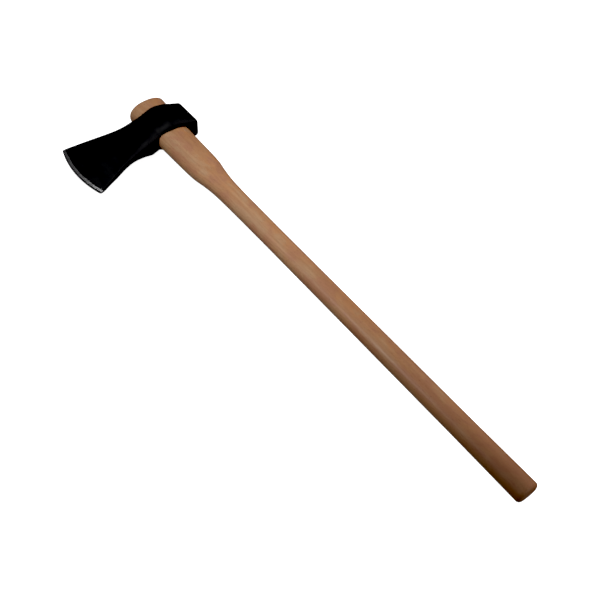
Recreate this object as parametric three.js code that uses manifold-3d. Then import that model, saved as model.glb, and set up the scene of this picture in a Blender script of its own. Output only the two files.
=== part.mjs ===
// Splitting maul: a forged head with a tapered oval eye, slipped over a straight beech haft from the
// butt and jammed on the haft's flared top. Millimetres, +Z up; the maul lies on its side, with +X from
// the butt to the top of the haft and +Y towards the cutting edge. The origin is at the middle of the
// footprint, level with the lowest point of the head's cheek.

import * as THREE from 'three';
import { mergeVertices } from 'three/addons/utils/BufferGeometryUtils.js';
import Module from 'manifold-3d';

// ---- Driving dimensions -------------------------------------------------------------------------
// Distances along the haft are measured from its first station at the butt, distances across it from
// the haft's axis.

const HAFT_END = 900;
const BUTT_END = -1.5;              // the rounded butt runs this far past the first station
const BUTT_ROUNDING = 5;
const TOP_ROUNDING = 4.4;
const HAFT_FULLNESS = 2.25;         // exponent of the oval section: 2 is an ellipse
const EYE_CLEARANCE = 0.35;

// Half-width (towards the edge) and half-depth (towards the cheeks) of the haft along its length.
const HAFT_STATIONS = [
  { along: 0, width: 18.2, depth: 13.3 },
  { along: 60, width: 17.8, depth: 13.1 },
  { along: 140, width: 17.6, depth: 12.8 },
  { along: 500, width: 17.7, depth: 12.8 },
  { along: 600, width: 18.3, depth: 13.0 },
  { along: 650, width: 19.1, depth: 13.4 },
  { along: 672, width: 20.2, depth: 14.0 },
  { along: 694, width: 22.9, depth: 15.0 },
  { along: 716, width: 26.6, depth: 16.4 },
  { along: 738, width: 27.8, depth: 17.0 },
  { along: 808, width: 29.2, depth: 17.9 },
  { along: 900, width: 34.0, depth: 22.6 },
];

const POLL = -48.5;                 // the flat striking face behind the eye
const EDGE = 176;                   // the middle of the curved cutting edge
const EDGE_MIDDLE = 829.6;          // where along the haft the edge stands out the most
const EDGE_RADIUS = 198;
const BEVEL_AT_TOE = 5.4;           // breadth of the ground bevel, top and bottom
const BEVEL_AT_HEEL = 6.6;
const SWEEP_START = 60;             // where the cheeks start to follow the curve of the edge
const POLL_ROUNDING = 4.4;

// Outline of the head from the poll to the edge: its underside and top (along the haft), half its
// thickness, and the radius of its two lower and two upper long edges.
const HEAD_STATIONS = [
  { across: -48.5, under: 810, top: 868.7, thick: 15.8, lowRound: 4, highRound: 6 },
  { across: -30, under: 810.5, top: 870, thick: 22.9, lowRound: 9, highRound: 7.5 },
  { across: -14, under: 810, top: 870.5, thick: 29.4, lowRound: 14, highRound: 9 },
  { across: 2, under: 809.7, top: 871.2, thick: 31.5, lowRound: 17, highRound: 8.5 },
  { across: 14, under: 809.8, top: 871.8, thick: 28.3, lowRound: 20, highRound: 7.5 },
  { across: 26, under: 810.8, top: 871.8, thick: 24, lowRound: 22.5, highRound: 7.5 },
  { across: 34, under: 809.9, top: 871.6, thick: 21.6, lowRound: 17.5, highRound: 7.5 },
  { across: 44, under: 808, top: 871.9, thick: 19.7, lowRound: 13.8, highRound: 8.5 },
  { across: 60, under: 806.8, top: 874, thick: 13.8, lowRound: 10, highRound: 7.5 },
  { across: 80, under: 804.2, top: 877.2, thick: 8.7, lowRound: 6, highRound: 5 },
  { across: 100, under: 798, top: 880.2, thick: 6.8, lowRound: 4.5, highRound: 4 },
  { across: 125, under: 787.3, top: 883.2, thick: 5.8, lowRound: 3.2, highRound: 3.2 },
  { across: 150, under: 777.6, top: 886.2, thick: 4.3, lowRound: 2.2, highRound: 2.2 },
  { across: 170, under: 769.5, top: 888.8, thick: 2.5, lowRound: 0.8, highRound: 1 },
  { across: 176, under: 767.6, top: 889.7, thick: 0.3, lowRound: 0.1, highRound: 0.1 },
];

const ROUNDEST = 0.95;              // the largest share of the half thickness that a rounding takes
const BODY_STEPS = 26;              // facets from the poll to the bevel
const HEIGHT_STEPS = 12;            // facets along the haft's direction
const THICKNESS_STEPS = 6;
const EYE_SIDES = 56;
const HAFT_SIDES = 40;
const HAFT_STEPS = 44;

const COLOURS = { beech: 0xb98a66, blackPaint: 0x0b0b0c };

// ---- Curves ----------------------------------------------------------------------------------------

const clamp = THREE.MathUtils.clamp;
const lerp = THREE.MathUtils.lerp;
const smoothstep = THREE.MathUtils.smoothstep;

// A smooth curve through the stations that never swings past them (monotone cubic interpolation).
function follow(stations, place, key) {
  const at = stations.map((station) => station[place]);
  const value = stations.map((station) => station[key]);
  const last = at.length - 1;
  const slope = [];
  for (let i = 0; i < last; i += 1) {
    slope.push((value[i + 1] - value[i]) / (at[i + 1] - at[i]));
  }
  const tangent = value.map((_, i) => {
    if (i === 0) return slope[0];
    if (i === last) return slope[last - 1];
    const sameWay = slope[i - 1] * slope[i] > 0;
    return sameWay ? 2 / (1 / slope[i - 1] + 1 / slope[i]) : 0;
  });
  return (where) => {
    const inside = clamp(where, at[0], at[last]);
    let i = 0;
    while (i < last - 1 && inside > at[i + 1]) i += 1;
    const span = at[i + 1] - at[i];
    const t = (inside - at[i]) / span;
    const rise = value[i + 1] - value[i];
    const bend = tangent[i] * span * t * (1 - t) ** 2 - tangent[i + 1] * span * t * t * (1 - t);
    return value[i] + rise * t * t * (3 - 2 * t) + bend;
  };
}

const haftWidth = follow(HAFT_STATIONS, 'along', 'width');
const haftDepth = follow(HAFT_STATIONS, 'along', 'depth');
const headUnder = follow(HEAD_STATIONS, 'across', 'under');
const headTop = follow(HEAD_STATIONS, 'across', 'top');
const headThick = follow(HEAD_STATIONS, 'across', 'thick');
const headLowRound = follow(HEAD_STATIONS, 'across', 'lowRound');
const headHighRound = follow(HEAD_STATIONS, 'across', 'highRound');

// How far a rounded end is drawn in, at a distance from its face.
function drawnIn(distance, radius) {
  const left = Math.max(radius - distance, 0);
  return radius - Math.sqrt(radius * radius - left * left);
}

// A point on an oval of the given half-width and half-depth.
function ovalPoint(angle, width, depth) {
  const power = 2 / HAFT_FULLNESS;
  const c = Math.cos(angle);
  const s = Math.sin(angle);
  return {
    y: width * Math.sign(c) * Math.abs(c) ** power,
    z: depth * Math.sign(s) * Math.abs(s) ** power,
  };
}

// ---- Solids ----------------------------------------------------------------------------------------

// Moves every vertex of a geometry and returns it as a closed shell of shared vertices.
function reshape(geometry, move) {
  const shape = geometry.clone();
  shape.deleteAttribute('normal');
  shape.deleteAttribute('uv');
  const shell = mergeVertices(shape);
  const position = shell.getAttribute('position');
  const point = new THREE.Vector3();
  for (let i = 0; i < position.count; i += 1) {
    point.fromBufferAttribute(position, i);
    move(point);
    position.setXYZ(i, point.x, point.y, point.z);
  }
  return shell;
}

// An oval bar along X; sectionAt(step) says where each step lies and how big it is there.
function ovalBar(sides, steps, sectionAt) {
  const cylinder = new THREE.CylinderGeometry(1, 1, 1, sides, steps);
  return reshape(cylinder, (point) => {
    const step = Math.round((point.y + 0.5) * steps);
    const { along, width, depth } = sectionAt(step);
    const onAxis = Math.hypot(point.x, point.z) < 0.5;
    const oval = ovalPoint(Math.atan2(-point.z, point.x), width, depth);
    point.set(along, onAxis ? 0 : oval.y, onAxis ? 0 : oval.z);
  });
}

// Places along the haft: close together at the rounded ends and where it swells below the head.
function haftPlaces() {
  const places = [];
  const addRun = (from, to, count) => {
    for (let i = 0; i < count; i += 1) places.push(lerp(from, to, i / count));
  };
  const swellStart = 630;
  const swellEnd = 745;
  const endSteps = 3;
  const gripSteps = 12;
  const swellSteps = 16;
  addRun(BUTT_END, BUTT_END + BUTT_ROUNDING, endSteps);
  addRun(BUTT_END + BUTT_ROUNDING, swellStart, gripSteps);
  addRun(swellStart, swellEnd, swellSteps);
  const headSteps = HAFT_STEPS - 2 * endSteps - gripSteps - swellSteps;
  addRun(swellEnd, HAFT_END - TOP_ROUNDING, headSteps);
  addRun(HAFT_END - TOP_ROUNDING, HAFT_END, endSteps);
  places.push(HAFT_END);
  return places;
}

function haftShape() {
  const places = haftPlaces();
  return ovalBar(HAFT_SIDES, HAFT_STEPS, (step) => {
    const along = places[step];
    const fromButt = along - BUTT_END;
    const inset = drawnIn(fromButt, BUTT_ROUNDING) + drawnIn(HAFT_END - along, TOP_ROUNDING);
    return { along, width: haftWidth(along) - inset, depth: haftDepth(along) - inset };
  });
}

// The bore of the eye: the haft's own taper, a little larger, carried on past both faces.
function eyeShape() {
  const overrun = 12;
  const steps = 6;
  const from = headUnder(0) - overrun;
  const to = headTop(0) + overrun;
  return ovalBar(EYE_SIDES, steps, (step) => {
    const along = lerp(from, to, step / steps);
    return {
      along,
      width: haftWidth(along) + EYE_CLEARANCE,
      depth: haftDepth(along) + EYE_CLEARANCE,
    };
  });
}

// The cutting edge is one arc through toe and heel: how far it lies behind the edge's middle.
function edgeSetback(along) {
  return EDGE_RADIUS - Math.sqrt(EDGE_RADIUS ** 2 - (along - EDGE_MIDDLE) ** 2);
}

function bevelBreadth(along) {
  const toToe = (along - headUnder(EDGE)) / (headTop(EDGE) - headUnder(EDGE));
  return lerp(BEVEL_AT_HEEL, BEVEL_AT_TOE, clamp(toToe, 0, 1));
}

// Splits a half size into steps that put three lines across a rounded corner at each end.
function spread(step, steps, half, radiusBelow, radiusAbove) {
  const cornerSteps = 2;
  if (step <= cornerSteps) return -half + (radiusBelow * step) / cornerSteps;
  if (step >= steps - cornerSteps) return half - (radiusAbove * (steps - step)) / cornerSteps;
  const flat = (step - cornerSteps) / (steps - 2 * cornerSteps);
  return lerp(radiusBelow - half, half - radiusAbove, flat);
}

// Where each facet line runs across the head: two over the poll's rounding, one along the bevel.
function headPlace(step, bevelStart) {
  const pollSteps = 2;
  const bodyStart = POLL + POLL_ROUNDING;
  if (step <= pollSteps) return lerp(POLL, bodyStart, step / pollSteps);
  if (step > BODY_STEPS) return EDGE;
  return lerp(bodyStart, bevelStart, (step - pollSteps) / (BODY_STEPS - pollSteps));
}

function headShape() {
  const steps = BODY_STEPS + 1;
  const bevelStart = EDGE - (BEVEL_AT_TOE + BEVEL_AT_HEEL) / 2;
  const skin = 0.001;
  const box = new THREE.BoxGeometry(1, 1, 1, HEIGHT_STEPS, steps, THICKNESS_STEPS);
  return reshape(box, (point) => {
    const across = headPlace(Math.round((point.y + 0.5) * steps), bevelStart);
    const inset = drawnIn(across - POLL, POLL_ROUNDING);
    const halfHeight = (headTop(across) - headUnder(across)) / 2 - inset;
    const middle = (headTop(across) + headUnder(across)) / 2;
    const halfThick = headThick(across) - inset;
    const low = Math.min(headLowRound(across), halfThick * ROUNDEST);
    const high = Math.min(headHighRound(across), halfThick * ROUNDEST);

    // The section is a rectangle whose corners are pulled onto arcs.
    const heightStep = Math.round((point.x + 0.5) * HEIGHT_STEPS);
    const thickStep = Math.round((point.z + 0.5) * THICKNESS_STEPS);
    const a = spread(heightStep, HEIGHT_STEPS, halfHeight, low, high);
    const radius = a < 0 ? low : high;
    const b = spread(thickStep, THICKNESS_STEPS, halfThick, radius, radius);
    const innerA = clamp(a, radius - halfHeight, halfHeight - radius);
    const innerB = clamp(b, radius - halfThick, halfThick - radius);
    const reach = Math.hypot(a - innerA, b - innerB);
    const onSkin = Math.max(Math.abs(a) - halfHeight, Math.abs(b) - halfThick) > -skin;
    const pull = onSkin && reach > 0 ? radius / reach : 1;

    const sweep = smoothstep(across, SWEEP_START, bevelStart);
    const along = middle + innerA + (a - innerA) * pull;
    const thick = innerB + (b - innerB) * pull;
    const grind = across === EDGE ? 0 : EDGE - bevelStart - bevelBreadth(along);
    point.set(along, across + sweep * (grind - edgeSetback(along)), thick);
  });
}

// ---- Joining and cutting ---------------------------------------------------------------------------

const wasm = await Module();
wasm.setup();

function toSolid(shell) {
  const vertProperties = new Float32Array(shell.getAttribute('position').array);
  const triVerts = new Uint32Array(shell.getIndex().array);
  return new wasm.Manifold(new wasm.Mesh({ numProp: 3, vertProperties, triVerts }));
}

function toGeometry(solid) {
  const { vertProperties, triVerts } = solid.getMesh();
  const geometry = new THREE.BufferGeometry();
  geometry.setAttribute('position', new THREE.BufferAttribute(new Float32Array(vertProperties), 3));
  geometry.setIndex(new THREE.BufferAttribute(new Uint32Array(triVerts), 1));
  geometry.computeVertexNormals();
  return geometry;
}

// ---- The maul --------------------------------------------------------------------------------------

const beech = new THREE.MeshStandardMaterial({
  color: COLOURS.beech,
  roughness: 0.55,
  metalness: 0,
});
const blackPaint = new THREE.MeshStandardMaterial({
  color: COLOURS.blackPaint,
  roughness: 0.35,
  metalness: 0.1,
});

const haft = new THREE.Mesh(haftShape(), beech);
haft.name = 'haft';

const headSolid = toSolid(headShape()).subtract(toSolid(eyeShape()));
const head = new THREE.Mesh(toGeometry(headSolid), blackPaint);
head.name = 'maul_head';

const thickest = Math.max(...HEAD_STATIONS.map((station) => station.thick));
const maul = new THREE.Group();
maul.position.set(-(BUTT_END + HAFT_END) / 2, -(POLL + EDGE) / 2, thickest);
maul.add(haft, head);

const part = new THREE.Group();
part.add(maul);

export default part;
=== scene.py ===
import math

import bpy
import numpy as np
from mathutils import Matrix, Vector, noise


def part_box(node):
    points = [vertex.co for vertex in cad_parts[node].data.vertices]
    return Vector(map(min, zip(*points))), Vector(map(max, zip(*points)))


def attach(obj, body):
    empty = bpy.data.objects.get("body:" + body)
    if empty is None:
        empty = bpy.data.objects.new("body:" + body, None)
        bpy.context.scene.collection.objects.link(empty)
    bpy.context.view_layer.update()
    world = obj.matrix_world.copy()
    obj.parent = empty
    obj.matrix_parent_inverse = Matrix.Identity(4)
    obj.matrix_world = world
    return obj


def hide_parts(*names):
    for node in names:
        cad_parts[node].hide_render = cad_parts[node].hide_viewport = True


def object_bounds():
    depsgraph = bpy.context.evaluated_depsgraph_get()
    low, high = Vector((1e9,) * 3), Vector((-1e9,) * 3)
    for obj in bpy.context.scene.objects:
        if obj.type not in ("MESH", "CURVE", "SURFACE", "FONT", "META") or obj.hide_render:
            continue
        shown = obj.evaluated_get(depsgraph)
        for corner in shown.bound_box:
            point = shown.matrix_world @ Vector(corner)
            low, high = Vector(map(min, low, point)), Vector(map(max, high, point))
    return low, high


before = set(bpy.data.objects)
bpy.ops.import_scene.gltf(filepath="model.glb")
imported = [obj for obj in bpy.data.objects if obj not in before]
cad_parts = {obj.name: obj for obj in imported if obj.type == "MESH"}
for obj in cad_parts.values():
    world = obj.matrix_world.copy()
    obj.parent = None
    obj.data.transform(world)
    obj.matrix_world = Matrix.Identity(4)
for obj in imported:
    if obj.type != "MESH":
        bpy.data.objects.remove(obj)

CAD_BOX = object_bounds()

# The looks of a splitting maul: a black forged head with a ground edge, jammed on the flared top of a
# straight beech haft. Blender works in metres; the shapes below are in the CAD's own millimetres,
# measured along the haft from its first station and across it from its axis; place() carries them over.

MM = 0.001

# ---- Driving dimensions, as in the CAD -----------------------------------------------------------

HAFT_END = 900.0
BUTT_END = -1.5                            # the rounded butt runs this far past the first station
BUTT_ROUNDING = 5.0
TOP_ROUNDING = 4.4
HAFT_FULLNESS = 2.25                       # the power of its oval: 2 is an ellipse, more is squarer
EYE_CLEARANCE = 0.35                       # between the haft and the bore

# Along the haft, half-width towards the edge, half-depth towards the cheeks.
HAFT_STATIONS = np.array([
    (0, 18.2, 13.3),
    (60, 17.8, 13.1),
    (140, 17.6, 12.8),
    (500, 17.7, 12.8),
    (600, 18.3, 13.0),
    (650, 19.1, 13.4),
    (672, 20.2, 14.0),
    (694, 22.9, 15.0),
    (716, 26.6, 16.4),
    (738, 27.8, 17.0),
    (808, 29.2, 17.9),
    (900, 34.0, 22.6),
])

POLL = -48.5                               # across the haft, the poll's face
EDGE = 176.0                               # and the foremost point of the cutting edge
EDGE_MIDDLE = 829.6                        # that point's place along the haft
EDGE_RADIUS = 198.0
BEVEL_AT_TOE = 5.4                         # breadth of the ground bevel at the edge's upper end
BEVEL_AT_HEEL = 6.6                        # and at its lower end
BEVEL_START = EDGE - (BEVEL_AT_TOE + BEVEL_AT_HEEL) / 2
SWEEP_START = 60.0                         # from here the blade takes up the edge's curve
POLL_ROUNDING = 4.4
ROUNDEST = 0.95                            # most of the half thickness that a rounding may take

# Across the head: its underside, its top, half its thickness, radius of its lower and upper edges.
HEAD_STATIONS = np.array([
    (-48.5, 810, 868.7, 15.8, 4, 6),
    (-30, 810.5, 870, 22.9, 9, 7.5),
    (-14, 810, 870.5, 29.4, 14, 9),
    (2, 809.7, 871.2, 31.5, 17, 8.5),
    (14, 809.8, 871.8, 28.3, 20, 7.5),
    (26, 810.8, 871.8, 24, 22.5, 7.5),
    (34, 809.9, 871.6, 21.6, 17.5, 7.5),
    (44, 808, 871.9, 19.7, 13.8, 8.5),
    (60, 806.8, 874, 13.8, 10, 7.5),
    (80, 804.2, 877.2, 8.7, 6, 5),
    (100, 798, 880.2, 6.8, 4.5, 4),
    (125, 787.3, 883.2, 5.8, 3.2, 3.2),
    (150, 777.6, 886.2, 4.3, 2.2, 2.2),
    (170, 769.5, 888.8, 2.5, 0.8, 1),
    (176, 767.6, 889.7, 0.3, 0.1, 0.1),
])

# ---- Curves --------------------------------------------------------------------------------------


def follow(stations, column):
    """A smooth curve through one column of the stations that never swings past them."""
    at, value = stations[:, 0], stations[:, column]
    slope = np.diff(value) / np.diff(at)
    tangent = np.zeros_like(value)
    tangent[0], tangent[-1] = slope[0], slope[-1]
    for i in range(1, len(slope)):
        if slope[i - 1] * slope[i] > 0:
            tangent[i] = 2 / (1 / slope[i - 1] + 1 / slope[i])

    def curve(where):
        inside = np.clip(where, at[0], at[-1])
        i = np.clip(np.searchsorted(at, inside) - 1, 0, len(slope) - 1)
        span = at[i + 1] - at[i]
        t = (inside - at[i]) / span
        bend = tangent[i] * span * t * (1 - t) ** 2 - tangent[i + 1] * span * t * t * (1 - t)
        return value[i] + (value[i + 1] - value[i]) * t * t * (3 - 2 * t) + bend

    return curve


haft_width = follow(HAFT_STATIONS, 1)
haft_depth = follow(HAFT_STATIONS, 2)
head_under = follow(HEAD_STATIONS, 1)
head_top = follow(HEAD_STATIONS, 2)
head_thick = follow(HEAD_STATIONS, 3)
head_low_round = follow(HEAD_STATIONS, 4)
head_high_round = follow(HEAD_STATIONS, 5)


def smoothstep(x, low, high):
    t = np.clip((x - low) / (high - low), 0, 1)
    return t * t * (3 - 2 * t)


def drawn_in(distance, radius):
    """How far a rounded end is drawn in, at a distance from its face."""
    left = np.maximum(radius - distance, 0)
    return radius - np.sqrt(radius * radius - left * left)


def oval(angle, width, depth):
    """Points on the haft's oval section, across and up."""
    power = 2 / HAFT_FULLNESS
    c, s = np.cos(angle), np.sin(angle)
    across = width * np.sign(c) * np.abs(c) ** power
    up = depth * np.sign(s) * np.abs(s) ** power
    return across, up


# ---- From the CAD's millimetres to the frame's metres ---------------------------------------------

HAFT_LOW, HAFT_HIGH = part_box("haft")
HAFT_AXIS = (HAFT_LOW + HAFT_HIGH) / 2
FIRST_STATION = HAFT_LOW.x - BUTT_END * MM


def place(along, across, up):
    """Points in the frame's metres, from millimetres along the haft, across it and up."""
    along, across, up = np.broadcast_arrays(along, across, up)
    origin = np.array([FIRST_STATION, HAFT_AXIS.y, HAFT_AXIS.z])
    return np.stack([along, across, up], -1).reshape(-1, 3) * MM + origin


def make_piece(name, points, faces, materials):
    mesh = bpy.data.meshes.new(name)
    mesh.from_pydata([tuple(p) for p in points], [], faces)
    mesh.validate()
    mesh.polygons.foreach_set("use_smooth", [True] * len(mesh.polygons))
    for material in materials:
        mesh.materials.append(material)
    piece = bpy.data.objects.new(name, mesh)
    bpy.context.scene.collection.objects.link(piece)
    return piece


# ---- Materials -----------------------------------------------------------------------------------


class Nodes:
    """Adds nodes to a material, with sockets set by name to a value or linked to another socket."""

    def __init__(self, name):
        self.material = bpy.data.materials.new(name)
        self.material.use_nodes = True
        self.tree = self.material.node_tree
        self.tree.nodes.clear()

    def add(self, kind, sockets=None, **settings):
        node = self.tree.nodes.new(kind)
        for key, value in settings.items():
            setattr(node, key, value)
        for key, value in (sockets or {}).items():
            socket = node.inputs[key]
            if isinstance(value, bpy.types.NodeSocket):
                self.tree.links.new(value, socket)
            else:
                socket.default_value = value
        return node

    def math(self, operation, a, b=0.0):
        return self.add("ShaderNodeMath", {0: a, 1: b}, operation=operation).outputs[0]

    def scaled(self, vector, scale, offset=(0, 0, 0)):
        sockets = {"Vector": vector, "Scale": scale, "Location": offset}
        return self.add("ShaderNodeMapping", sockets).outputs[0]

    def noise(self, vector, scale=1.0, detail=2.0, roughness=0.5):
        sockets = {"Vector": vector, "Scale": scale, "Detail": detail, "Roughness": roughness}
        return self.add("ShaderNodeTexNoise", sockets).outputs["Fac"]

    def remap(self, value, low, high, to_low=0.0, to_high=1.0, smooth=False):
        sockets = {
            "Value": value, "From Min": low, "From Max": high, "To Min": to_low, "To Max": to_high,
        }
        kind = "SMOOTHSTEP" if smooth else "LINEAR"
        return self.add("ShaderNodeMapRange", sockets, interpolation_type=kind).outputs[0]

    def mix(self, factor, a, b, blend="MIX"):
        """Mixes two colours. The node's sockets share their names, so they go by number."""
        node = self.add("ShaderNodeMix", data_type="RGBA", blend_type=blend)
        for socket, value in ((node.inputs[0], factor), (node.inputs[6], a), (node.inputs[7], b)):
            if isinstance(value, bpy.types.NodeSocket):
                self.tree.links.new(value, socket)
            else:
                socket.default_value = value
        return node.outputs[2]

    def tinted(self, colour, amount, tint):
        """The colour, multiplied by a tint as far as the amount says. The haft's painted shade is laid on
        with it.
        """
        return self.mix(amount, colour, self.mix(1.0, colour, tint, "MULTIPLY"))

    def bump(self, height, strength, distance, below=None):
        sockets = {"Height": height, "Strength": strength, "Distance": distance}
        if below is not None:
            sockets["Normal"] = below
        return self.add("ShaderNodeBump", sockets).outputs[0]

    def finish(self, **sockets):
        named = {key.replace("_", " "): value for key, value in sockets.items()}
        shader = self.add("ShaderNodeBsdfPrincipled", named)
        self.add("ShaderNodeOutputMaterial", {"Surface": shader.outputs[0]})
        return self.material


def rgb(red, green, blue):
    return (red, green, blue, 1.0)


# In the materials, noise scales are in cycles per metre, and depths and places in metres. A colour is
# its shares of red, green and blue light.


def wandering(n, where):
    """The place, shifted by a slow noise, so that straight figure bends as it does in wood."""
    reach = 0.012
    drift = n.add("ShaderNodeTexNoise", {
        "Vector": n.scaled(where, (2.2, 9, 9)), "Scale": 1.0, "Detail": 2.0,
    }).outputs["Color"]
    drift = n.add("ShaderNodeVectorMath", {0: drift, 1: (0.5, 0.5, 0.5)}, operation="SUBTRACT")
    drift = n.add("ShaderNodeVectorMath", {0: drift.outputs[0], "Scale": reach}, operation="SCALE")
    shifted = n.add("ShaderNodeVectorMath", {0: where, 1: drift.outputs[0]}, operation="ADD")
    return shifted.outputs[0]


def late_wood(n, axes):
    """The dark side of each ring: arcs on the end grain, long lines and slim arches on the sides."""
    pith_across = 0.012                    # the tree's middle, across from the haft's axis
    pith_height = -0.062                   # and its height
    lean = 0.012                           # how far it leans across, for each metre of haft
    ring = 0.0026                          # the breadth of a year's ring
    darkest = 0.93                         # how far across a ring it is darkest, as a share
    leaning = n.math("MULTIPLY", axes[0], lean)
    side = n.math("ADD", n.math("SUBTRACT", axes[1], HAFT_AXIS.y + pith_across), leaning)
    rise = n.math("SUBTRACT", axes[2], pith_height)
    radius = n.math("SQRT", n.math("ADD", n.math("POWER", side, 2.0), n.math("POWER", rise, 2.0)))
    turn = n.math("FRACT", n.math("DIVIDE", radius, ring))
    darkening = n.remap(turn, 0.35, darkest, smooth=True)
    return n.math("MULTIPLY", darkening, n.remap(turn, darkest, 1.0, 1.0, 0.0))


def wood_colour(n, across, patch, mottle):
    """Redder heartwood on one side, pale sapwood on the other, with pinkish mottling over both."""
    sapwood = rgb(0.450, 0.280, 0.168)
    heartwood = rgb(0.505, 0.240, 0.110)
    pink = rgb(0.420, 0.212, 0.132)
    pale = rgb(0.472, 0.308, 0.186)
    heart = n.math("ADD", n.remap(across, 0.012, -0.017, 0.0, 0.62, smooth=True),
                   n.remap(patch, 0.34, 0.66, -0.10, 0.48))
    colour = n.mix(heart, sapwood, heartwood)
    colour = n.mix(n.remap(mottle, 0.46, 0.60, 0.0, 0.80, smooth=True), colour, pink)
    return n.mix(n.remap(mottle, 0.45, 0.33, 0.0, 0.62, smooth=True), colour, pale)


def butt_shade_colour(n, colour, along, across, patch):
    """Painted shade: darker and more saturated towards the butt, where the light falls off, and darker
    still near the butt, more orange on the poll side and greyer on the edge side.
    """
    shade_from, shade_most = 0.15, -0.42
    deep_shade_from, deep_shade_most = -0.27, -0.45
    falloff_shade = rgb(0.75, 0.64, 0.54)
    poll_side_shade, edge_side_shade = rgb(0.69, 0.53, 0.36), rgb(0.63, 0.59, 0.59)
    # Painted shade for the light falling off towards the butt, its start made ragged by the patches.
    shade_at = n.math("ADD", along, n.math("MULTIPLY", patch, 0.10))
    colour = n.tinted(colour, n.remap(shade_at, shade_from, shade_most), falloff_shade)
    # Painted shade deepening over the last stretch to the butt.
    deep_shade = n.mix(n.remap(across, -0.007, 0.009, smooth=True), poll_side_shade, edge_side_shade)
    return n.tinted(colour, n.remap(along, deep_shade_from, deep_shade_most, smooth=True), deep_shade)


def beech():
    """Beech under a thin clear finish: growth rings, straight fibres, short dark flecks."""
    n = Nodes("beech")
    where = n.add("ShaderNodeTexCoord").outputs["Object"]
    along = n.add("ShaderNodeSeparateXYZ", {0: where}).outputs[0]
    axes = n.add("ShaderNodeSeparateXYZ", {0: wandering(n, where)}).outputs
    across = n.math("SUBTRACT", axes[1], HAFT_AXIS.y)
    late = late_wood(n, axes)
    fibre = n.noise(n.scaled(where, (38, 1500, 1500)), detail=4.0, roughness=0.62)
    strand = n.noise(n.scaled(where, (9, 260, 260)), detail=3.0, roughness=0.55)
    patch = n.noise(n.scaled(where, (9, 34, 34), (3.1, 0.4, 1.7)), detail=3.0, roughness=0.5)
    mottle = n.noise(n.scaled(where, (30, 64, 64), (5.2, 1.3, 2.6)), detail=3.0, roughness=0.55)
    fleck = n.noise(n.scaled(where, (230, 1250, 1250), (0.7, 2.3, 5.1)), detail=1.0)
    fleck = n.remap(fleck, 0.635, 0.70, smooth=True)

    colour = wood_colour(n, across, patch, mottle)
    # Painted shade towards the butt, laid over the wood's own colours.
    colour = butt_shade_colour(n, colour, along, across, patch)
    strand_brown = rgb(0.300, 0.140, 0.070)
    late_brown = rgb(0.270, 0.125, 0.060)
    fibre_brown = rgb(0.240, 0.110, 0.055)
    fleck_brown = rgb(0.170, 0.070, 0.035)
    colour = n.mix(n.remap(strand, 0.30, 0.72, 0.0, 0.34), colour, strand_brown)
    colour = n.mix(n.math("MULTIPLY", late, 0.20), colour, late_brown)
    colour = n.mix(n.remap(fibre, 0.35, 0.75, 0.0, 0.22), colour, fibre_brown)
    colour = n.mix(n.math("MULTIPLY", fleck, 0.42), colour, fleck_brown)

    # Cut ends drink the finish and look darker.
    cut_end_brown = rgb(0.190, 0.090, 0.045)
    facing = n.add("ShaderNodeTexCoord").outputs["Normal"]
    ends = n.math("ABSOLUTE", n.add("ShaderNodeSeparateXYZ", {0: facing}).outputs[0])
    end_grain = n.remap(ends, 0.55, 0.95, smooth=True)
    colour = n.mix(n.math("MULTIPLY", end_grain, 0.15), colour, cut_end_brown)

    rough = n.remap(fibre, 0.3, 0.7, 0.40, 0.56)
    rough = n.math("ADD", rough, n.math("MULTIPLY", end_grain, 0.2))
    rough = n.math("SUBTRACT", rough, n.math("MULTIPLY", fleck, 0.08))
    relief = n.bump(fibre, 0.30, 0.00025)
    relief = n.bump(n.math("ADD", strand, n.math("MULTIPLY", late, -0.3)), 0.25, 0.0004, relief)
    return n.finish(Base_Color=colour, Roughness=rough, Normal=relief,
                    Specular_IOR_Level=0.28, IOR=1.5)


def black_paint():
    """Satin black paint over forged steel: a slight orange peel over the hammer's soft dents."""
    n = Nodes("black_paint")
    where = n.add("ShaderNodeTexCoord").outputs["Object"]
    dents = n.noise(where, scale=95.0, detail=3.0)
    peel = n.noise(where, scale=1150.0)
    smears = n.noise(n.scaled(where, (28, 55, 40)), detail=4.0, roughness=0.6)
    speck = n.remap(n.noise(where, scale=620.0, detail=1.0), 0.66, 0.72, smooth=True)

    deep_black = rgb(0.017, 0.017, 0.018)
    smeared_black = rgb(0.022, 0.022, 0.0225)
    rubbed_grey = rgb(0.04, 0.039, 0.038)
    colour = n.mix(n.remap(smears, 0.35, 0.7), deep_black, smeared_black)
    outer_edges = n.add("ShaderNodeNewGeometry").outputs["Pointiness"]
    rubbed = n.math("MULTIPLY", n.remap(outer_edges, 0.515, 0.56, smooth=True),
                    n.remap(smears, 0.42, 0.62))
    colour = n.mix(n.math("MULTIPLY", rubbed, 0.6), colour, rubbed_grey)
    rough = n.remap(smears, 0.3, 0.7, 0.46, 0.56)
    rough = n.math("ADD", rough, n.math("MULTIPLY", speck, 0.12))
    relief = n.bump(dents, 0.12, 0.0010)
    relief = n.bump(peel, 0.10, 0.00012, relief)
    relief = n.bump(speck, 0.12, 0.00008, relief)
    return n.finish(Base_Color=colour, Roughness=rough, Normal=relief,
                    Specular_IOR_Level=0.06, IOR=1.5)


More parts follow.
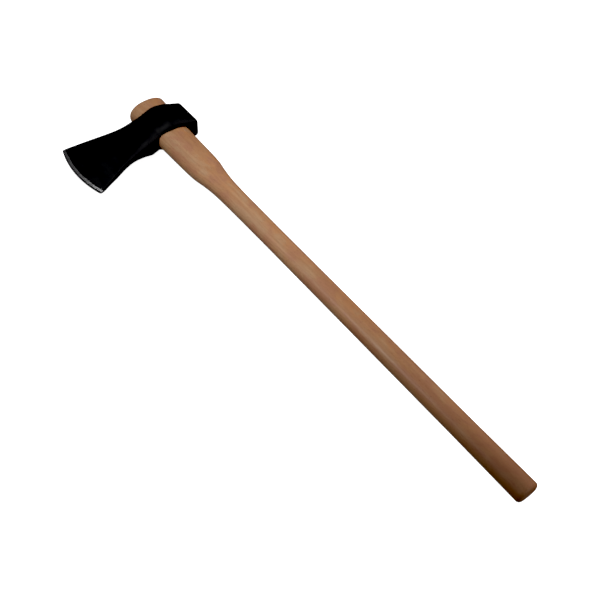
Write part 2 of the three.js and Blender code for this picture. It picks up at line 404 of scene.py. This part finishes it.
def ground_steel():
    """Bare steel, ground square to the cutting edge."""
    n = Nodes("ground_steel")
    where = n.add("ShaderNodeTexCoord").outputs["Object"]
    scores = n.noise(n.scaled(where, (2600, 130, 700)), detail=3.0, roughness=0.7)
    bands = n.noise(n.scaled(where, (420, 24, 60)))
    tint = n.noise(where, scale=60.0, detail=3.0, roughness=0.6)
    dull, bright, tinted = rgb(0.18, 0.18, 0.185), rgb(0.37, 0.37, 0.375), rgb(0.24, 0.23, 0.22)
    colour = n.mix(n.remap(scores, 0.3, 0.7), dull, bright)
    colour = n.mix(n.remap(tint, 0.45, 0.75, 0.0, 0.35), colour, tinted)
    rough = n.remap(bands, 0.3, 0.7, 0.26, 0.40)
    relief = n.bump(scores, 0.16, 0.00012)
    relief = n.bump(bands, 0.12, 0.0002, relief)
    return n.finish(Base_Color=colour, Metallic=1.0, Roughness=rough, Normal=relief)


def honed_steel():
    """The honed edge outside the bevel: oiled, smoother and darker than the ground face."""
    n = Nodes("honed_steel")
    where = n.add("ShaderNodeTexCoord").outputs["Object"]
    scores = n.noise(n.scaled(where, (3400, 200, 900)), detail=3.0, roughness=0.7)
    tint = n.noise(where, scale=90.0, detail=3.0, roughness=0.6)
    oiled, bare = rgb(0.15, 0.15, 0.155), rgb(0.23, 0.23, 0.235)
    colour = n.mix(n.remap(tint, 0.35, 0.7), oiled, bare)
    rough = n.remap(scores, 0.3, 0.7, 0.15, 0.24)
    relief = n.bump(scores, 0.08, 0.00008)
    return n.finish(Base_Color=colour, Metallic=1.0, Roughness=rough, Normal=relief)


def forged_bore():
    """The bore of the eye: punched steel with dull grey scale."""
    n = Nodes("forged_bore")
    where = n.add("ShaderNodeTexCoord").outputs["Object"]
    drag = n.noise(n.scaled(where, (60, 500, 500)), detail=3.0, roughness=0.6)
    scale = n.noise(where, scale=240.0, detail=4.0, roughness=0.65)
    dark_scale, grey_scale = rgb(0.055, 0.053, 0.052), rgb(0.16, 0.155, 0.15)
    colour = n.mix(n.remap(scale, 0.35, 0.7), dark_scale, grey_scale)
    rough = n.remap(scale, 0.3, 0.7, 0.5, 0.75)
    relief = n.bump(n.math("ADD", drag, scale), 0.4, 0.0003)
    return n.finish(Base_Color=colour, Metallic=0.6, Roughness=rough, Normal=relief)


# ---- Haft ----------------------------------------------------------------------------------------

HAFT_SIDES = 120
BODY_RINGS = 330
ROUNDING_RINGS = 9
END_FACE_SHARES = np.array([0.12, 0.3, 0.5, 0.68, 0.82, 0.92])
BUTT_CROWN = 0.8                           # how far the butt's rim falls back from its middle
CROWN_FADE = 12.0                          # and how far along the haft that dies away
SANDED_AWAY = 0.006                        # the most, as a share, that uneven sanding takes off


def haft_rings():
    """Along, and share of the full section, from the middle of the butt face to the middle of the top."""
    shares = END_FACE_SHARES
    arc = np.linspace(0, math.pi / 2, ROUNDING_RINGS)
    butt_arc = BUTT_END + BUTT_ROUNDING * (1 - np.cos(arc))
    top_arc = HAFT_END - TOP_ROUNDING * (1 - np.cos(arc[::-1]))
    body = np.linspace(BUTT_END + BUTT_ROUNDING, HAFT_END - TOP_ROUNDING, BODY_RINGS)[1:-1]
    butt, top = np.full(len(shares), BUTT_END), np.full(len(shares), HAFT_END)
    along = np.concatenate([butt, butt_arc, body, top_arc, top])
    share = np.concatenate([shares, np.ones(len(along) - 2 * len(shares)), shares[::-1]])
    return along, share


def make_haft():
    """One closed skin of rings, from the butt's middle to the top's."""
    along, share = haft_rings()
    angle = np.linspace(0, 2 * math.pi, HAFT_SIDES, endpoint=False)
    inset = drawn_in(along - BUTT_END, BUTT_ROUNDING) + drawn_in(HAFT_END - along, TOP_ROUNDING)
    # Sanding by hand leaves the section very slightly uneven, in slow waves along the haft.
    uneven = 1 - SANDED_AWAY * (1 + np.sin(along / 61.0) * np.cos(along / 23.0 + 1.0)) / 2
    width = (haft_width(along) - inset) * share * uneven
    depth = (haft_depth(along) - inset) * share * uneven[::-1]
    across, up = oval(angle[None, :], width[:, None], depth[:, None])
    # The butt's end is sanded to a slight crown.
    from_axis = share * (1 - inset / haft_width(along))
    near_butt = 1 - smoothstep(along, BUTT_END, BUTT_END + CROWN_FADE)
    along = along + BUTT_CROWN * from_axis**2 * near_butt
    middles = place(np.array([BUTT_END, HAFT_END]), 0.0, 0.0)
    points = np.concatenate([place(along[:, None], across, up), middles])

    rings = len(along)
    butt_middle, top_middle = rings * HAFT_SIDES, rings * HAFT_SIDES + 1
    faces = []
    for s in range(HAFT_SIDES):
        t = (s + 1) % HAFT_SIDES
        faces.append((butt_middle, t, s))
        last = (rings - 1) * HAFT_SIDES
        faces.append((top_middle, last + s, last + t))
        for r in range(rings - 1):
            here, there = r * HAFT_SIDES, (r + 1) * HAFT_SIDES
            faces.append((here + s, here + t, there + t, there + s))
    piece = make_piece("beech_haft", points, faces, [beech()])
    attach(piece, "haft")
    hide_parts("haft")


# ---- Head ----------------------------------------------------------------------------------------

HEIGHT_CELLS = 72                          # the box grid that becomes the head: along the haft,
POLL_CELLS = 8                             # across it over the poll's rounding,
BODY_CELLS = 150                           # to the start of the bevel, the poll's cells among them,
BEVEL_CELLS = 15                           # and over the bevel,
THICK_CELLS = 40                           # through its thickness,
CORNER_CELLS = 7                           # and round each of its four long edges
CROWDING = 0.6                             # how much the grid lines of a flat crowd to its edges
PAINT, STEEL, HONED, BORE = 0, 1, 2, 3
TOE_ROUNDING = 1.2
HEEL_ROUNDING = 1.9
CORNER_ON_BODY = 0.6                       # the share of those two roundings the bevel's start has
HONED_FROM = 0.60                          # the share of the bevel where a steeper honed edge begins
HONED_THICK = 1.55                         # half the blade's thickness there
EDGE_THICK = 0.12                          # and at the cutting edge
DENTS = (26.0, 0.20), (9.0, 0.06)          # two sizes of dent, each with its depth
DENT_CUT = 0.2                             # sinks the cheeks, to stay inside the CAD
DENTED_FROM = POLL, POLL + 12              # dents grow over this stretch across the head
DENTED_UNTIL = 140, 160                    # and fade over this one
CHEEKS_APART = 40.0                        # so that each cheek has its own dents
EYE_SIDES = 144
EYE_MIDDLE = 838.0                         # a place along the haft, inside the eye
EYE_LIP = 1.6                              # the rounding of the bore's rims
CLEAR_OF_FACE = 5.0                        # how far the cutter sticks out of the head
BORE_WALL = 0.6                            # faces within this of the bore's wall are the bore's
SHARP_ANGLE = math.radians(38)             # edges bent by more than this are shaded as sharp


def box_skin(cells_x, cells_y, cells_z):
    """Grid points on the skin of a box, and its quads, facing out."""
    index = {}

    def at(i, j, k):
        return index.setdefault((i, j, k), len(index))

    quads = []
    for i in range(cells_x):
        for j in range(cells_y):
            for k, turn in ((cells_z, 1), (0, -1)):
                quad = (at(i, j, k), at(i + 1, j, k), at(i + 1, j + 1, k), at(i, j + 1, k))
                quads.append(quad[::turn])
    for j in range(cells_y):
        for k in range(cells_z):
            for i, turn in ((cells_x, 1), (0, -1)):
                quad = (at(i, j, k), at(i, j + 1, k), at(i, j + 1, k + 1), at(i, j, k + 1))
                quads.append(quad[::turn])
    for i in range(cells_x):
        for k in range(cells_z):
            for j, turn in ((cells_y, 1), (0, -1)):
                quad = (at(i, j, k), at(i, j, k + 1), at(i + 1, j, k + 1), at(i + 1, j, k))
                quads.append(quad[::turn])
    return np.array(list(index)), quads


def edge_setback(along):
    """How far the curved edge falls back from its foremost point."""
    reach = np.clip(np.abs(along - EDGE_MIDDLE), 0, EDGE_RADIUS)
    return EDGE_RADIUS - np.sqrt(EDGE_RADIUS**2 - reach**2)


def corner_setback(along):
    """How far the rounded toe and heel fall back from the edge's curve."""
    from_toe = np.maximum(head_top(EDGE) - along, 0)
    from_heel = np.maximum(along - head_under(EDGE), 0)
    return drawn_in(from_toe, TOE_ROUNDING) + drawn_in(from_heel, HEEL_ROUNDING)


def bevel_breadth(along):
    """How broad the ground bevel is, from its start to the edge."""
    span = head_top(EDGE) - head_under(EDGE)
    to_toe = np.clip((along - head_under(EDGE)) / span, 0, 1)
    # Ground by hand, it wavers by up to half a millimetre.
    wavering = 0.25 * np.sin(along / 4.7) + 0.2 * np.sin(along / 11.3 + 1.0)
    return BEVEL_AT_HEEL + (BEVEL_AT_TOE - BEVEL_AT_HEEL) * to_toe + wavering


def spread(step, steps, half, below, above):
    """Grid lines over a side: some over its flat, and CORNER_CELLS over each rounded end."""
    flat = np.clip((step - CORNER_CELLS) / (steps - 2 * CORNER_CELLS), 0, 1)
    flat = flat - CROWDING * np.sin(2 * math.pi * flat) / (2 * math.pi)
    middle = below - half + flat * (2 * half - below - above)
    low = -half + below * step / CORNER_CELLS
    high = half - above * (steps - step) / CORNER_CELLS
    return np.where(step < CORNER_CELLS, low, np.where(step > steps - CORNER_CELLS, high, middle))


def rounded_corner(offset_a, offset_b):
    """Carries a square corner's grid onto a round one."""
    longest = np.maximum(np.abs(offset_a), np.abs(offset_b))
    reach = np.hypot(offset_a, offset_b)
    pull = np.where(reach > 1e-9, longest / np.maximum(reach, 1e-9), 1.0)
    return offset_a * pull, offset_b * pull


def head_across(step):
    """Where each grid line runs across the head, up to the start of the bevel."""
    turn = np.clip(step / POLL_CELLS, 0, 1) * math.pi / 2
    over_poll = POLL + POLL_ROUNDING * (1 - np.cos(turn))
    run = np.clip((step - POLL_CELLS) / (BODY_CELLS - POLL_CELLS), 0, 1)
    over_body = POLL + POLL_ROUNDING + run * (BEVEL_START - POLL - POLL_ROUNDING)
    return np.where(step <= POLL_CELLS, over_poll, over_body)


def head_grid_points(grid):
    """Shapes the box grid into the solid head, before the eye is cut."""
    i, j, k = grid[:, 0], grid[:, 1], grid[:, 2]
    on_body = j <= BODY_CELLS
    ground = np.clip((j - BODY_CELLS) / BEVEL_CELLS, 0, 1)
    across = np.where(on_body, head_across(j), BEVEL_START + ground * (EDGE - BEVEL_START))

    inset = drawn_in(across - POLL, POLL_ROUNDING)
    half_height = (head_top(across) - head_under(across)) / 2 - inset
    middle = (head_top(across) + head_under(across)) / 2
    body_thick = head_thick(np.minimum(across, BEVEL_START)) - inset
    over_bevel = head_thick(BEVEL_START), HONED_THICK, EDGE_THICK
    bevel_thick = np.interp(ground, (0.0, HONED_FROM, 1.0), over_bevel)
    half_thick = np.where(on_body, body_thick, bevel_thick)
    low = np.minimum(head_low_round(across), half_thick * ROUNDEST)
    high = np.minimum(head_high_round(across), half_thick * ROUNDEST)

    a = spread(i, HEIGHT_CELLS, half_height, low, high)
    radius = np.where(a < 0, low, high)
    b = spread(k, THICK_CELLS, half_thick, radius, radius)
    inner_a = np.clip(a, radius - half_height, half_height - radius)
    inner_b = np.clip(b, radius - half_thick, half_thick - radius)
    corner_a, corner_b = rounded_corner(a - inner_a, b - inner_b)
    along = middle + inner_a + corner_a
    thick = inner_b + corner_b

    # The blade sweeps into the edge's curve, and the bevel follows that curve.
    sweep = smoothstep(across, SWEEP_START, BEVEL_START)
    breadth, curve, corner = bevel_breadth(along), edge_setback(along), corner_setback(along)
    body_y = across + sweep * (EDGE - BEVEL_START - breadth - curve - CORNER_ON_BODY * corner)
    corner_share = CORNER_ON_BODY + (1 - CORNER_ON_BODY) * ground
    bevel_y = EDGE - curve - breadth * (1 - ground) - corner * corner_share
    return along, np.where(on_body, body_y, bevel_y), thick


def hammered(along, across, thick, grid):
    """Leaves the soft unevenness of a forging on the cheeks, and none on the poll and the bevel."""
    fade = smoothstep(across, *DENTED_FROM) * (1 - smoothstep(across, *DENTED_UNTIL))
    side = np.where(grid[:, 2] == THICK_CELLS, 1.0, np.where(grid[:, 2] == 0, -1.0, 0.0))
    lift = np.zeros_like(along)
    for n in np.nonzero(side)[0]:
        spot = Vector((along[n], across[n], CHEEKS_APART * side[n]))
        lift[n] = sum(noise.noise(spot / size) * depth for size, depth in DENTS)
    return thick + side * fade * (lift - DENT_CUT)


def rim_height(across, up, lower):
    """Height along the haft of the head's underside or top, at a place near the eye."""
    radius = head_low_round(across) if lower else head_high_round(across)
    over = np.clip(np.abs(up) - (head_thick(across) - radius), 0, radius)
    rise = radius - np.sqrt(radius**2 - over**2)
    return head_under(across) + rise if lower else head_top(across) - rise


def eye_cutter():
    """The tapered bore, flared at both rims so that the cut leaves a rounded lip."""
    sides, lip = EYE_SIDES, EYE_LIP
    angle = np.linspace(0, 2 * math.pi, sides, endpoint=False)
    across, up = oval(angle, haft_width(EYE_MIDDLE), haft_depth(EYE_MIDDLE))
    low_rim, high_rim = rim_height(across, up, True), rim_height(across, up, False)
    flare = np.radians([78, 62, 46, 30, 15, 0])
    rings = [(low_rim - CLEAR_OF_FACE, lip)]
    rings += [(low_rim + lip * (1 - math.sin(f)), lip * (1 - math.cos(f))) for f in flare]
    rings += [(low_rim + (high_rim - low_rim) * t, 0.0) for t in (0.25, 0.5, 0.75)]
    rings += [(high_rim - lip * (1 - math.sin(f)), lip * (1 - math.cos(f))) for f in flare[::-1]]
    rings += [(high_rim + CLEAR_OF_FACE, lip)]

    points, faces = [], []
    for along, wider in rings:
        grow = EYE_CLEARANCE + wider
        ring_across, ring_up = oval(angle, haft_width(along) + grow, haft_depth(along) + grow)
        points.append(place(along, ring_across, ring_up))
    for r in range(len(rings) - 1):
        for s in range(sides):
            t = (s + 1) % sides
            here, there = r * sides, (r + 1) * sides
            faces.append((here + s, here + t, there + t, there + s))
    faces.append(tuple(range(sides))[::-1])
    faces.append(tuple(range((len(rings) - 1) * sides, len(rings) * sides)))
    return make_piece("eye_cutter", np.concatenate(points), faces, [])


def cut(piece, tool):
    """Cuts the tool's shape out of the piece, and removes the tool."""
    modifier = piece.modifiers.new("cut", "BOOLEAN")
    modifier.operation = "DIFFERENCE"
    modifier.solver = "EXACT"
    modifier.object = tool
    bpy.context.view_layer.update()
    graph = bpy.context.evaluated_depsgraph_get()
    mesh = bpy.data.meshes.new_from_object(piece.evaluated_get(graph))
    piece.modifiers.clear()
    piece.data = mesh
    bpy.data.objects.remove(tool)


def inside_bore(centre):
    """True for a face of the bore, between its rounded lips."""
    along = (centre.x - FIRST_STATION) / MM
    across = (centre.y - HAFT_AXIS.y) / MM
    up = (centre.z - HAFT_AXIS.z) / MM
    width = haft_width(along) + EYE_CLEARANCE + BORE_WALL
    depth = haft_depth(along) + EYE_CLEARANCE + BORE_WALL
    return abs(across / width) ** HAFT_FULLNESS + abs(up / depth) ** HAFT_FULLNESS < 1


def surface_of(steps, along):
    """The surface of a face, from its corners' steps across the head and places along the haft."""
    ground = (min(steps) - BODY_CELLS) / BEVEL_CELLS
    if ground < 0:
        return PAINT
    half_cell = 0.5 / BEVEL_CELLS
    at_heel = max(along) < head_under(EDGE) + HEEL_ROUNDING
    return HONED if at_heel or ground > HONED_FROM - half_cell else STEEL


def make_head():
    """A box grid shaped into the forged head, with the eye cut through it."""
    grid, quads = box_skin(HEIGHT_CELLS, BODY_CELLS + BEVEL_CELLS, THICK_CELLS)
    along, across, thick = head_grid_points(grid)
    thick = hammered(along, across, thick, grid)
    materials = [black_paint(), ground_steel(), honed_steel(), forged_bore()]
    piece = make_piece("forged_head", place(along, across, thick), quads, materials)
    surfaces = [surface_of(grid[list(quad), 1], along[list(quad)]) for quad in quads]
    piece.data.polygons.foreach_set("material_index", surfaces)

    cut(piece, eye_cutter())
    for face in piece.data.polygons:
        if inside_bore(face.center):
            face.material_index = BORE
    piece.data.polygons.foreach_set("use_smooth", [True] * len(piece.data.polygons))
    piece.data.set_sharp_from_angle(angle=SHARP_ANGLE)
    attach(piece, "head")
    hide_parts("maul_head")


# ---- Stage ---------------------------------------------------------------------------------------

CAMERA_AZIMUTH = math.radians(139.30)      # from +X, towards +Y
CAMERA_ELEVATION = math.radians(51.53)
CAMERA_ROLL = math.radians(3.72)
CAMERA_DISTANCE = 1.305                    # in metres
AIM_ALONG = 413.1                          # the point it looks at, in the maul's millimetres
AIM_ACROSS = 41.7
CAMERA_LENS = 54.0
SENSOR = 36.0
SHADOW_CUT = 0.022                         # light below this share of white prints as black
FLOOR_HALF = 12.0                          # metres from its middle to a side
FLOOR_GLOW = 0.95                          # as a share of white
ROOM_LIGHT = 0.15                          # the world's strength as the maul sees it
BACKDROP = 1.0                             # and as the camera does

# Each lamp's place in metres, the size of its disk and its power in watts.
NEAR_SOFTBOX = (-0.36, -1.02, 0.80), 1.3, 8.8
FAR_SOFTBOX = (0.08, 0.24, 0.68), 0.15, 3.45
EDGE_LIGHT = (0.80, 0.24, 1.07), 0.2, 0.9
BUTT_LIGHT = (-0.92, -0.40, 0.20), 0.3, 0.8


def make_camera():
    aim = Vector(place(AIM_ALONG, AIM_ACROSS, 0.0)[0])
    az, el = CAMERA_AZIMUTH, CAMERA_ELEVATION
    back = Vector((math.cos(el) * math.cos(az), math.cos(el) * math.sin(az), math.sin(el)))
    level = Vector((-math.sin(az), math.cos(az), 0))
    upright = back.cross(level)
    right = level * math.cos(CAMERA_ROLL) + upright * math.sin(CAMERA_ROLL)
    up = back.cross(right)
    camera = bpy.data.objects.new("camera", bpy.data.cameras.new("camera"))
    camera.data.lens = CAMERA_LENS
    camera.data.sensor_width = SENSOR
    turn = Matrix((right, up, back)).transposed().to_4x4()
    camera.matrix_world = Matrix.Translation(aim + back * CAMERA_DISTANCE) @ turn
    bpy.context.scene.collection.objects.link(camera)
    bpy.context.scene.camera = camera


def make_floor():
    """A pale floor that glows a little, so that it stays bright without lighting the maul."""
    n = Nodes("pale_floor")
    shader = n.add("ShaderNodeBsdfPrincipled", {
        "Base Color": rgb(0.9, 0.9, 0.9), "Roughness": 0.9, "Specular IOR Level": 0.0,
        "Emission Color": rgb(1, 1, 1), "Emission Strength": FLOOR_GLOW,
    })
    n.add("ShaderNodeOutputMaterial", {"Surface": shader.outputs[0]})
    half = FLOOR_HALF
    corners = [(-half, -half, 0), (half, -half, 0), (half, half, 0), (-half, half, 0)]
    floor = make_piece("floor", corners, [(0, 1, 2, 3)], [n.material])
    floor.location.z = CAD_BOX[0].z
    floor.visible_diffuse = False
    floor.visible_glossy = False


def make_lamp(name, aim, spot, size, power):
    light = bpy.data.lights.new(name, "AREA")
    light.shape = "DISK"
    light.size = size
    light.energy = power
    lamp = bpy.data.objects.new(name, light)
    lamp.location = spot
    lamp.rotation_euler = (Vector(aim) - Vector(spot)).to_track_quat("-Z", "Y").to_euler()
    lamp.visible_camera = False
    bpy.context.scene.collection.objects.link(lamp)


def make_lights():
    head_low, head_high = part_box("maul_head")
    head_middle = (head_low + head_high) / 2
    make_lamp("near_softbox", head_middle, *NEAR_SOFTBOX)
    make_lamp("far_softbox", head_middle, *FAR_SOFTBOX)
    make_lamp("edge_light", head_middle, *EDGE_LIGHT)
    make_lamp("butt_light", HAFT_LOW, *BUTT_LIGHT)


def make_world():
    """Dim for the maul, white behind it."""
    world = bpy.data.worlds.new("studio")
    world.use_nodes = True
    tree = world.node_tree
    tree.nodes.clear()
    ray = tree.nodes.new("ShaderNodeLightPath")
    strength = tree.nodes.new("ShaderNodeMapRange")
    strength.inputs["To Min"].default_value = ROOM_LIGHT
    strength.inputs["To Max"].default_value = BACKDROP
    tree.links.new(ray.outputs["Is Camera Ray"], strength.inputs["Value"])
    background = tree.nodes.new("ShaderNodeBackground")
    background.inputs["Color"].default_value = rgb(1, 1, 1)
    tree.links.new(strength.outputs[0], background.inputs["Strength"])
    output = tree.nodes.new("ShaderNodeOutputWorld")
    tree.links.new(background.outputs[0], output.inputs["Surface"])
    bpy.context.scene.world = world


def set_exposure():
    """Plain colours, with the deepest shadows printed as black."""
    view = bpy.context.scene.view_settings
    view.view_transform = "Standard"
    view.use_curve_mapping = True
    view.curve_mapping.black_level = (SHADOW_CUT, SHADOW_CUT, SHADOW_CUT)
    view.curve_mapping.update()


make_camera()
make_floor()
make_lights()
make_world()
make_haft()
make_head()
set_exposure()

bpy.context.view_layer.update()
